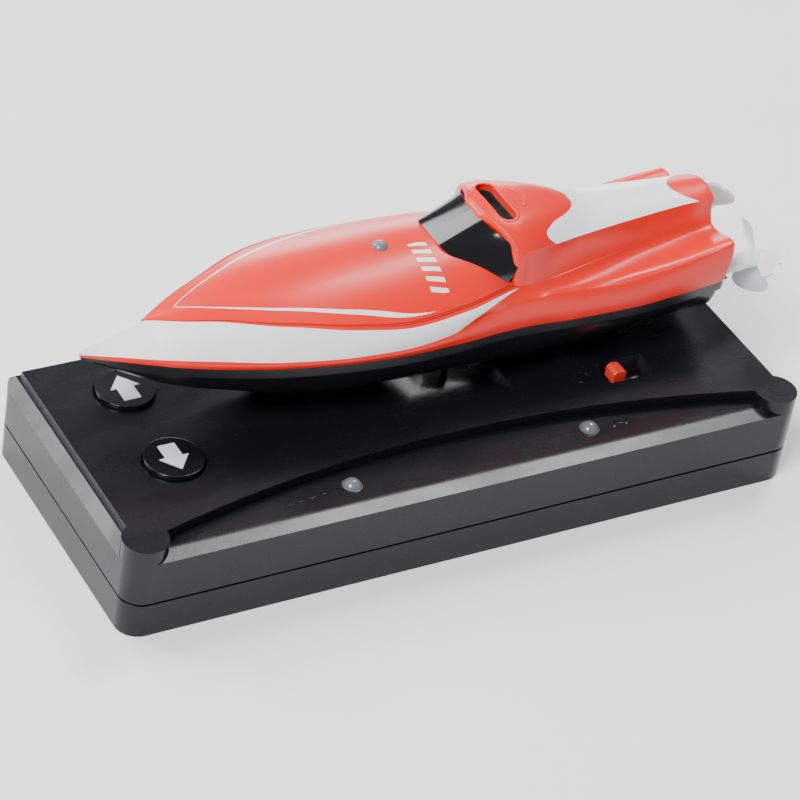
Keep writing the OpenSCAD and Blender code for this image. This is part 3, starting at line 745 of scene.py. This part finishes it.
SEAM = Line(((BOW, 0.4, 33.9), (-60, 2.2, 33.8), (-56, 4.2, 33.7), (-48, 8, 33.5), (-39, 11.2, 33.3),
             (-30, 13.6, 33.1), (-17.5, 15.5, 32.8), (-8, 16, 32.5), (3.7, 15.5, 32.2), (14, 14.6, 32.0),
             (19, 14.5, 31.9), (28, 15, 31.7), (39, 15, 31.5), (50.5, 14.2, 31.4), (62, 12.7, 31.2)))
LIP = Line(tuple((x, h - 0.05, z - 1.9 * lip_share(x)) for x, h, z in SEAM.knots))
STEP = Line(tuple((x, max(h - 1.2, 0.15), z - 2.4 * lip_share(x)) for x, h, z in SEAM.knots))
CHINE = Line(((BOW, 0.3, 33.4), (-60, 1.0, 31.9), (-56, 2.4, 30.6), (-48, 5.8, 28.4), (-40, 8, 27),
              (-28, 10.3, 25), (-15, 11.6, 24), (20, 11.9, 23.6), (62, 10.5, 24.6)))
KEEL = Line(((BOW, 0, 33.3), (-60, 0, 31.4), (-56, 0, 29.0), (-48, 0, 24.6), (-40, 0, 21.8), (-28, 0, 19.7),
             (-16, 0, 19), (18, 0, 19.3), (34, 0, 20.2), (62, 0, 20.6)))
# Roof and cowl: centre line, its edge, and the foot of its side
ROOF = Line(((9, 0, 48.4), (10.9, 0, 49.3), (13, 0, 49.95), (16, 0, 50.1), (22, 0, 49.6), (28, 0, 48.4),
             (31.5, 0, 47.4), (36, 0, 46.3), (44, 0, 45.7), (56, 0, 45.3), (62, 0, 45.2)))
ROOF_EDGE = Line(((9, 4.2, 47.9), (10.9, 4.8, 48.5), (12.4, 7.2, 48.0), (14.2, 10.3, 46.7), (17, 11.0, 46.2),
                  (20, 10.4, 45.8), (23.4, 9.5, 45.2), (30, 7.9, 44.7), (44, 5.6, 44.2), (57, 4.4, 44.1),
                  (62, 4.3, 43.8)))
ROOF_FOOT = Line(((9, 4.3, 46), (10.9, 5.0, 46), (12.4, 8.4, 43), (14.2, 11.9, 39.0), (17, 12.1, 38.4),
                  (25, 10.6, 38.2), (34, 8.8, 38.4), (46, 6.3, 38.3), (62, 4.9, 38.9)))


@dataclass
class Deck:
    """The lower part of the boat's top: foredeck panel, flanks and stern pods."""

    groove_depth: float = 0.38
    groove_at: Pair = (0.935, 0.965)
    groove_reach: Pair = (-50.0, 15.0)
    hollow_depth: float = 1.15
    shoulder_drop: float = 0.8

    def surface(self, x: float, row: float) -> Spot:
        """Returns x, half-width and height; rows run 0 crown, 2 edge, 3 rail, 4 seam."""
        edge, rail, seam = EDGE.at(x), RAIL.at(x), SEAM.at(x)
        if row > 4:
            return raked(x, seam[1]), 0.0, seam[1]
        if row <= 2:
            half, z = self.panel(x, row / 2, CROWN.at(x), edge)
        elif row <= 3:
            half, z = self.flank(x, row - 2, edge, rail)
        else:
            half, z = self.side(x, row - 3, rail, seam)
        inset = end_inset(x)
        half = max(half - inset * (0.3 + 0.7 * min(row / 3, 1)), 0)
        z -= inset * (1 - smooth_step(row - 3))
        return raked(x, z), half, z

    def panel(self, x: float, t: float, crown: Pair, edge: Pair) -> Pair:
        """Returns a point on the crowned panel, with the groove near its edge."""
        z = crown[1] + (edge[1] - crown[1]) * t ** 2.1
        low, high = self.groove_at
        if low <= t <= high and self.groove_reach[0] < x < self.groove_reach[1]:
            z -= self.groove_depth
        return edge[0] * t, z

    def flank(self, x: float, t: float, edge: Pair, rail: Pair) -> Pair:
        """Returns a point on the flank, which turns into a hollow channel behind the cockpit."""
        half, z = between(edge, rail, t)
        convex = 0.5 * (1 - smooth_step((x - 2) / 14)) * smooth_step((x + 60) / 20) * 0.8 * hump(t)
        hollow = self.hollow_depth * smooth_step((x - 17) / 12)
        inner = t ** (1 - 0.4 * smooth_step((x - 20) / 20))
        return half + convex, z - self.shoulder(x, (1 - t) / 0.24) + convex - hollow * hump(inner)

    def side(self, x: float, t: float, rail: Pair, seam: Pair) -> Pair:
        """Returns a point on the bulging side, between the rail and the seam."""
        half, z = between(rail, seam, t)
        bulge = (0.55 * smooth_step((x + 60) / 20) + 0.35 * smooth_step((x - 10) / 20)) * hump(t)
        return half + bulge * 0.6, z + bulge * 0.25 - self.shoulder(x, t / 0.15)

    def shoulder(self, x: float, away: float) -> float:
        """Returns how far the rounded shoulder of a stern pod drops, near the rail."""
        return self.shoulder_drop * smooth_step((x - 20) / 25) * max(1 - away, 0.0) ** 2

    def rows(self) -> List[float]:
        """Returns the rows, with close pairs along the creases."""
        panel = [i / 12 * 1.8 for i in range(13)]
        shaded_groove = [1.865, 1.871, 1.9, 1.929, 1.935, 1.97, 1.995]
        flank = [2.0, 2.02] + [2.0 + i / 12 for i in range(1, 12)] + [2.95, 2.98]
        side = [3.0, 3.03, 3.07] + [3.0 + i / 8 for i in range(1, 9)] + [5.0]
        return panel + shaded_groove + flank + side

    def build(self) -> Object:
        """Builds the deck as a closed body with a flat underside at the seam.

        Returns:
            The deck piece.
        """
        xs = stations(BOW, 60.7, 120) + [60.9, 61.2, 61.5, 61.75, 61.92, TRANSOM]
        bm = half_grid(xs, self.rows(), self.surface)
        close_ends(bm)
        piece = finish_mesh(bm, "deck_skin", [DECK_PAINT.build()], 40)
        return join_piece(piece, "boat", ["deck_shell"])


@dataclass
class Cockpit:
    """The raised roof with its pillars, running aft into the white cowl and the stern lobe."""

    front: float = 10.9
    sweep: float = 3.3
    frame_height: float = 0.42
    camber: float = 3.2
    slot_x: float = 15.9
    slot_half_length: float = 5.8
    slot_radius: float = 1.8
    slot_floor: float = 41.4
    slot_top: float = 52.0
    liner_top: float = 48.3
    segments: int = 32
    rim_out: float = 0.18
    rim_half: float = 0.34
    rim_rise: float = 0.26
    rim_sink: float = 0.12
    mark_x: float = 21.2

    def brow(self, row: float) -> float:
        """Returns how far back the front edge lies on a row."""
        return self.front + self.sweep * smooth_step((row - 0.45) / 0.55) + 0.5 * max(row - 1, 0)

    def surface(self, s: float, row: float) -> Spot:
        """Returns x, half-width and height; rows run 0 centre, 1 edge of the roof, 2 foot."""
        brow = self.brow(row)
        x = brow + (TRANSOM - brow) * (s - self.front) / (TRANSOM - self.front)
        top, edge, foot = ROOF.at(x), ROOF_EDGE.at(x), ROOF_FOOT.at(x)
        if row > 2:
            return raked(x, foot[1]), 0.0, foot[1]
        if row <= 1:
            half = edge[0] * row
            z = top[1] + (edge[1] - top[1]) * row ** (self.camber - 1.2 * smooth_step((x - 24) / 10))
        else:
            half, z = between(edge, foot, row - 1)
            half += self.pillar(x - brow, row - 1) - 0.5 * smooth_step((x - 18) / 8) * hump(row - 1)
        drop = 0.75 * max(0.0, 1 - (x - brow) / 0.9) ** 2.2
        inset = end_inset(x) * 1.2
        half = max(half - drop * 0.6 * smooth_step((row - 0.5) * 2) - inset * min(row, 1), 0)
        z -= drop * (1 - smooth_step((row - 1) * 4)) + inset * (1 - smooth_step(row - 1))
        return raked(x, z), half, z

    def pillar(self, behind: float, t: float) -> float:
        """Returns how far the raised frame behind the windshield stands out of the side."""
        near = 1 - smooth_step((behind - 1.9) / 0.7)
        return self.frame_height * near * math.sin(math.pi * min(t + 0.15, 1))

    def build(self) -> List[Object]:
        """Builds the roof and cowl with the charge slot cut through the roof.

        Returns:
            The pieces, the first of which is the roof and cowl.
        """
        xs = [self.front, 11.05, 11.2, 11.4, 11.65, 11.9] + stations(12.2, 60.7, 92)
        xs += [60.9, 61.2, 61.5, 61.8, TRANSOM]
        rows = [i / 16 * 0.94 for i in range(17)] + [0.96, 0.98, 1.0, 1.03, 1.06]
        rows += [1 + i / 12 for i in range(1, 13)] + [3.0]
        bm = half_grid(xs, rows, self.surface)
        close_ends(bm)
        piece = finish_mesh(bm, "cockpit_skin", [COCKPIT_PAINT.build()], 40)
        self.cut_slot(piece)
        join_piece(piece, "boat")
        return [piece, self.rim(), self.liner(), self.roof_mark()]

    def stadium(self, bm: BMesh, radius: float, z: float) -> List[BMVert]:
        """Adds a ring of vertices in the slot's outline.

        Args:
            bm: The mesh to add to.
            radius: Radius of the round ends, in millimetres.
            z: Height of the ring, in millimetres.

        Returns:
            The ring's vertices in order.
        """
        half_step = Matrix.Rotation(math.pi / self.segments, 4, "Z")
        made = bmesh.ops.create_circle(bm, cap_ends=False, segments=self.segments, radius=radius * MM,
                                       matrix=half_step)["verts"]
        shift = (self.slot_half_length - self.slot_radius) * MM
        for vertex in made:
            side = 1 if vertex.co.y > 0 else -1
            vertex.co += Vector((self.slot_x * MM, BOAT_Y * MM + side * shift, z * MM))
        return made

    def cut_slot(self, piece: Object) -> None:
        """Cuts the slot for the charging tongue into the roof."""
        bm = bmesh.new()
        lower = self.stadium(bm, self.slot_radius, self.slot_floor)
        upper = self.stadium(bm, self.slot_radius, self.slot_top)
        bmesh.ops.convex_hull(bm, input=lower + upper)
        bmesh.ops.recalc_face_normals(bm, faces=bm.faces)
        cutter = finish_mesh(bm, "slot_cutter", [])
        cut = piece.modifiers.new("slot", "BOOLEAN")
        cut.operation, cut.object, cut.solver = "DIFFERENCE", cutter, "MANIFOLD"
        bake_modifiers(piece)
        bpy.data.objects.remove(cutter)
        mark_creases(piece, 40)

    def roof_height(self, y: float, x: float) -> float:
        """Returns the roof's height at a distance from the centre plane."""
        top, edge = ROOF.at(x), ROOF_EDGE.at(x)
        return top[1] + (edge[1] - top[1]) * min(abs(y) / edge[0], 1) ** self.camber

    def rim(self) -> Object:
        """Builds the rolled edge around the slot."""
        bm = bmesh.new()
        rings = []
        for k in range(12):
            turn = 2 * math.pi * k / 12
            ring = self.stadium(bm, self.slot_radius + self.rim_out + self.rim_half * math.cos(turn), 0)
            for vertex in ring:
                roof = self.roof_height(vertex.co.y / MM - BOAT_Y, vertex.co.x / MM)
                vertex.co.z = (roof - self.rim_sink + self.rim_rise * math.sin(turn)) * MM
            rings.append(ring)
        bridge_rings(bm, rings)
        return join_piece(finish_mesh(bm, "slot_rim", [ROOF_RED.build()], 60), "boat")

    def liner(self) -> Object:
        """Builds the black wall of the socket that shows inside the slot."""
        bm = bmesh.new()
        inner, outer = self.slot_radius - 0.2, self.slot_radius + 0.1
        low, high = self.slot_floor, self.liner_top
        profile = ((inner, low), (inner, high), (outer, high), (outer, low))
        bridge_rings(bm, [self.stadium(bm, radius, z) for radius, z in profile])
        return join_piece(finish_mesh(bm, "slot_liner", [SWITCH_BLACK.build()]), "boat")

    def roof_mark(self) -> Object:
        """Builds a plain raised chevron behind the slot."""
        bm = bmesh.new()
        for side in (-1, 1):
            add_block(bm, (0.7, 3.2, 0.5), (self.mark_x, BOAT_Y + side * 1.25, 0), side * 38)
        bmesh.ops.subdivide_edges(bm, edges=bm.edges, cuts=3, use_grid_fill=True)
        for vertex in bm.verts:
            roof = self.roof_height(vertex.co.y / MM - BOAT_Y, vertex.co.x / MM)
            vertex.co.z += (roof - 0.08) * MM
        soften(bm, 60, 0.08, 2)
        return join_piece(finish_mesh(bm, "roof_chevron", [ROOF_RED.build()], 60), "boat")


# Foot and top edge of the windshield: distance from the centre plane, then x and height
GLASS_FOOT = Line(((0, 3.7, 45.75), (3.6, 3.8, 45.6), (5.2, 4.4, 45.1), (6.6, 5.9, 44.4), (8.9, 9.2, 42.8),
                   (11.6, 13.6, 40.9)))
GLASS_TOP = Line(((0, 11.3, 49.0), (3.4, 11.4, 48.8), (5.0, 11.8, 48.45), (6.8, 12.7, 47.9),
                  (8.8, 14.0, 47.2), (10.5, 15.0, 46.4)))


@dataclass
class Windshield:
    """The gloss black wrap-around glazing under the roof's brow."""

    foot_half: float = 11.6
    top_half: float = 10.5
    swell: float = 0.45
    lean: float = 1.6

    def surface(self, up: float, row: float) -> Spot:
        """Returns x, half-width and height; rows run 0 front centre, 1 rear edge, 2 back centre."""
        share = min(row, 1.0)
        foot, top = GLASS_FOOT.at(self.foot_half * share), GLASS_TOP.at(self.top_half * share)
        bow = self.swell * hump(up) * share ** 3
        x, z = between(foot, top, up)
        if row > 1:
            return x + bow * self.lean, 0.0, z
        half = (self.foot_half + (self.top_half - self.foot_half) * up) * share + bow
        return x + bow * self.lean, half, z

    def build(self) -> Object:
        """Builds the glazing as a wrapped solid that sits in the deck.

        Returns:
            The windshield piece.
        """
        ups = [-0.1 + 1.1 * i / 14 for i in range(15)]
        bm = half_grid(ups, [i / 28 for i in range(29)] + [2.0], self.surface)
        close_ends(bm)
        piece = finish_mesh(bm, "windshield_glass", [WINDSHIELD_BLACK.build()], 50)
        return join_piece(piece, "boat", ["windshield"])


@dataclass
class Hull:
    """The black lower hull with its stepped lip and vee bottom."""

    belly: float = 0.35
    draught: float = 19.0

    def surface(self, x: float, row: float) -> Spot:
        """Returns x, half-width and height; rows run 0 keel, 1 chine, 2 step, 3 lip, 4 seam."""
        lines = [KEEL.at(x), CHINE.at(x), STEP.at(x), LIP.at(x), SEAM.at(x)]
        if row > 4:
            return raked(x, lines[4][1]), 0.0, lines[4][1]
        low = min(int(row), 3)
        t = row - low
        half, z = between(lines[low], lines[low + 1], t)
        belly = self.belly * hump(t) * smooth_step((x + 60) / 25)
        if low == 0:
            z -= belly
        elif low == 1:
            half += belly
        inset = end_inset(x) * 0.6
        half = max(half - inset * min(row, 1), 0)
        return raked(x, z), half, max(z, self.draught) + inset * (1 - smooth_step(row))

    def build(self) -> Object:
        """Builds the hull as a closed body.

        Returns:
            The hull piece.
        """
        xs = stations(BOW, 60.7, 100) + [61.0, 61.4, 61.75, TRANSOM]
        rows = [0, 0.06] + [i / 8 for i in range(1, 8)] + [0.97, 1, 1.03] + [1 + i / 8 for i in range(1, 8)]
        rows += [1.97, 2, 2.06, 2.5, 2.94, 3, 3.06, 3.5, 4, 5]
        bm = half_grid(xs, rows, self.surface)
        close_ends(bm)
        piece = finish_mesh(bm, "hull_skin", [HULL_BLACK.build()], 40)
        return join_piece(piece, "boat", ["hull"])


@dataclass
class Propeller:
    """One propeller with its long hub and broad fan blades."""

    side: int
    body: str
    node: str
    shaft_half: float = 9.3
    shaft_z: float = 32.0
    start: float = 62.6
    end: float = 72.9
    collar: float = 66.5
    hub: float = 1.75
    reach: float = 7.5
    blade_x: float = 70.6
    root: float = 1.1
    thickness: float = 0.55
    pitch: float = 42.0
    twist: float = 14.0
    phase: float = 0.0

    def build(self) -> Object:
        """Builds hub and blades in one moulding.

        Returns:
            The propeller piece.
        """
        bm = bmesh.new()
        self.add_hub(bm)
        for k in range(3):
            self.add_blade(bm, self.phase + 120.0 * k)
        centre = Vector((0, BOAT_Y + self.side * self.shaft_half, self.shaft_z)) * MM
        bmesh.ops.translate(bm, verts=bm.verts, vec=centre)
        piece = finish_mesh(bm, self.node + "_moulding", [PROPELLER_WHITE.build()], 50)
        return join_piece(piece, self.body, [self.node])

    def add_hub(self, bm: BMesh) -> None:
        """Adds the turned hub with a collar and a rounded nose."""
        neck = self.hub - 0.15
        outline = [(self.start, 0), (self.start, 1.5), (self.start + 0.25, self.hub), (self.collar, self.hub),
                   (self.collar + 0.5, neck), (self.end - 1.3, neck), (self.end - 0.7, 1.4),
                   (self.end - 0.25, 1.0), (self.end - 0.05, 0.5), (self.end, 0)]
        verts = [bm.verts.new(Vector((x, 0, r)) * MM) for x, r in outline]
        edges = [bm.edges.new(pair) for pair in zip(verts, verts[1:])]
        bmesh.ops.spin(bm, geom=verts + edges, cent=(0, 0, 0), axis=(1, 0, 0), angle=2 * math.pi, steps=40,
                       use_merge=True)
        bmesh.ops.remove_doubles(bm, verts=bm.verts, dist=0.000005)
        bmesh.ops.recalc_face_normals(bm, faces=bm.faces)

    def add_blade(self, bm: BMesh, turn: float) -> None:
        """Adds one leaf-shaped blade, twisted along its length.

        Args:
            bm: The mesh to add to.
            turn: Its turn about the shaft, in degrees.
        """
        blade = bmesh.new()
        bmesh.ops.create_grid(blade, x_segments=14, y_segments=30, size=1.0)
        for vertex in blade.verts:
            t = (vertex.co.y + 1) / 2
            radius = self.root + (self.reach - self.root) * t
            chord = (0.9 + 3.7 * t) * math.sqrt(max(1 - max((t - 0.55) / 0.45, 0) ** 3, 0.01))
            across = vertex.co.x * chord
            angle = math.radians(-self.side * (self.pitch + self.twist * (1 - t)))
            cup = 0.35 * (vertex.co.x ** 2) * t
            swing = across * math.sin(angle) / max(radius, 1)
            vertex.co = Vector((self.blade_x + across * math.cos(angle) + cup,
                                radius * math.sin(swing), radius * math.cos(swing))) * MM
        bmesh.ops.remove_doubles(blade, verts=blade.verts, dist=0.000003)
        bmesh.ops.recalc_face_normals(blade, faces=blade.faces)
        bmesh.ops.solidify(blade, geom=blade.faces[:], thickness=self.thickness * MM)
        spin = Matrix.Rotation(math.radians(turn), 3, "X")
        bmesh.ops.rotate(blade, verts=blade.verts, cent=(0, 0, 0), matrix=spin)
        mesh = bpy.data.meshes.new("blade")
        blade.to_mesh(mesh)
        blade.free()
        bm.from_mesh(mesh)
        bpy.data.meshes.remove(mesh)


# ---------------------------------------------------------------- the transmitter


@dataclass
class Transmitter:
    """The case, its controls and its plain moulded signs."""

    edge: float = 0.28
    sign_height: float = 0.1
    ring_bars: int = 16
    ring_radius: float = 1.5
    ledge: float = 16.4
    tongue_drop: float = 1.4

    def build(self) -> List[Object]:
        """Builds the outer shells, the controls and the signs.

        Returns:
            The pieces.
        """
        black, key, silver = CASE_BLACK.build(), BUTTON_BLACK.build(), ARROW_SILVER.build()
        pieces = [from_node("upper_case", self.edge, black, "upper_case_shell"),
                  from_node("lower_case", self.edge, black, "lower_case_shell"),
                  from_node("battery_door", 0.12, black, "battery_door_panel"),
                  from_node("power_knob", 0.22, KNOB_RED.build(), "power_knob_cap")]
        for name in ("forward", "reverse", "left", "right"):
            pieces.append(from_node(name + "_button", 0.3, key, name + "_button_cap"))
            pieces.append(from_node(name + "_arrow", 0.08, silver, name + "_arrow_inlay"))
        return pieces + [self.signs(black)]

    def signs(self, finish: Material) -> Object:
        """Builds the signs: a ring and a bar at the switch, a dash row and a bolt at the lamps."""
        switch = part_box("power_knob")
        x, y = switch[0][0] / MM, (switch[0][1] + switch[1][1]) / 2 / MM
        top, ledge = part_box("tongue_contacts")[1][2] / MM + self.tongue_drop, self.ledge
        bars = [((0.5, 3.0), (x + 12.5, y, top), 0.0)]
        for k in range(self.ring_bars):
            turn = 2 * math.pi * k / self.ring_bars
            ring_x, ring_y = self.ring_radius * math.cos(turn), self.ring_radius * math.sin(turn)
            bars.append(((0.7, 0.45), (x - 5.5 + ring_x, y + ring_y, top), math.degrees(turn) + 90))
        for k in range(4):
            bars.append(((1.5, 0.45), (-28.5 - 2.4 * k, -20.9 - 0.28 * k, ledge), 7.0))
        for along, turn in ((0, 55.0), (1.3, -20.0), (2.6, 55.0)):
            bars.append(((1.9, 0.4), (31 + along, -20.6, ledge), turn))
        bm = bmesh.new()
        for (length, width), place, turn in bars:
            add_block(bm, (length, width, 2 * self.sign_height), place, turn)
        soften(bm, 60, 0.05, 2)
        return join_piece(finish_mesh(bm, "case_signs", [finish], 60), "base")


# ---------------------------------------------------------------- carried-over nodes

FINISH_OF_SLOT: Dict[str, object] = {
    "case_black": CASE_BLACK, "button_black": BUTTON_BLACK, "switch_black": SWITCH_BLACK,
    "arrow_silver": ARROW_SILVER, "knob_red": KNOB_RED, "lamp_clear": LAMP_GREY, "screw_steel": SCREW_STEEL,
    "contact_metal": CONTACT_METAL, "contact_gold": CONTACT_GOLD, "cell_jacket": CELL_JACKET,
    "board_green": BOARD_GREEN, "hull_black": HULL_BLACK, "deck_red": ROOF_RED,
    "windshield_black": WINDSHIELD_BLACK, "seal_rubber": SEAL_RUBBER, "motor_steel": MOTOR_STEEL,
    "propeller_white": PROPELLER_WHITE}


def dress_nodes() -> None:
    """Gives every CAD node the procedural finish of its slot."""
    made: Dict[str, Material] = {}
    for name, node in FRAME["nodes"].items():
        slot = NODE_SLOT[name]
        if slot not in made:
            made[slot] = FINISH_OF_SLOT[slot].build()
            made[slot].name = slot + "_node"
        for material_slot in node.material_slots:
            material_slot.material = made[slot]


# ---------------------------------------------------------------- studio


@dataclass(frozen=True)
class SoftBox:
    """One soft area light."""

    name: str
    place: Spot
    aim: Spot
    size: float
    power: float

    def build(self) -> None:
        """Adds the light to the scene."""
        light = bpy.data.lights.new(self.name, "AREA")
        light.energy, light.size = self.power, self.size
        lamp = bpy.data.objects.new(self.name, light)
        lamp.location = self.place
        lamp.rotation_euler = (Vector(self.aim) - Vector(self.place)).to_track_quat("-Z", "Y").to_euler()
        bpy.context.scene.collection.objects.link(lamp)


SOFT_BOXES = (
    SoftBox("key_light", (-0.95, -0.45, 1.2), (0, 0, 0.02), 0.6, 36.0),
    SoftBox("bevel_light", (0.54, 0.36, 1.0), (0, 0, 0.02), 0.3, 7.5),
    SoftBox("glass_light", (-0.17, 0.72, 0.9), (0, 0, 0.02), 0.34, 4.0),
    SoftBox("back_light", (0.6, 1.2, 0.2), (0, 0, 0.02), 0.5, 6.0),
    SoftBox("side_light", (-0.7, 0.78, 0.62), (0, 0, 0.02), 0.34, 8.0),
)


@dataclass
class Studio:
    """The floor, the lights and the camera."""

    focal: float = 148.3
    place: Spot = (-0.2702, -0.3876, 0.3752)
    right: Spot = (0.87053, -0.47153, 0.14085)
    up: Spot = (0.19455, 0.59265, 0.78161)
    back: Spot = (-0.45202, -0.65301, 0.60766)
    sky: float = 0.3
    floor_half: float = 3.0

    def build(self) -> None:
        """Adds the floor, the lights, the sky and the camera."""
        self.floor()
        for box in SOFT_BOXES:
            box.build()
        world = bpy.data.worlds.new("studio_air")
        world.use_nodes = True
        world.node_tree.nodes["Background"].inputs[0].default_value = (1, 1, 1, 1)
        world.node_tree.nodes["Background"].inputs[1].default_value = self.sky
        bpy.context.scene.world = world
        data = bpy.data.cameras.new("camera")
        data.lens, data.sensor_width, data.clip_start = self.focal, 36.0, 0.01
        camera = bpy.data.objects.new("camera", data)
        turn = Matrix((self.right, self.up, self.back)).transposed().to_4x4()
        camera.matrix_world = Matrix.Translation(self.place) @ turn
        bpy.context.scene.collection.objects.link(camera)
        bpy.context.scene.camera = camera

    def floor(self) -> None:
        """Adds a plain pale floor."""
        bm = bmesh.new()
        bmesh.ops.create_grid(bm, x_segments=1, y_segments=1, size=self.floor_half)
        pale = Plastic("floor_pale", (0.95, 0.95, 0.95), 0.8, 0.0, 50.0, 0.99, 0.0, 0.0)
        floor = finish_mesh(bm, "floor", [pale.build()])


def main() -> None:
    """Builds every sub-assembly in order."""
    logging.basicConfig(level=logging.INFO, format="%(message)s")
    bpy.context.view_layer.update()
    dress_nodes()
    Studio().build()
    Transmitter().build()
    Hull().build()
    Deck().build()
    Cockpit().build()
    Windshield().build()
    Propeller(-1, "port_drive", "port_propeller", phase=-54.0).build()
    Propeller(1, "starboard_drive", "starboard_propeller", phase=33.0).build()


if __name__ == "__main__":
    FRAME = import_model()
    FRAME_BODY = {n: b for b, members in FRAME["record"]["behaviour"]["bodies"].items() for n in members}
    NODE_SLOT = {part["node"]: part["material_slot"] for part in FRAME["record"]["subparts"]}
    main()
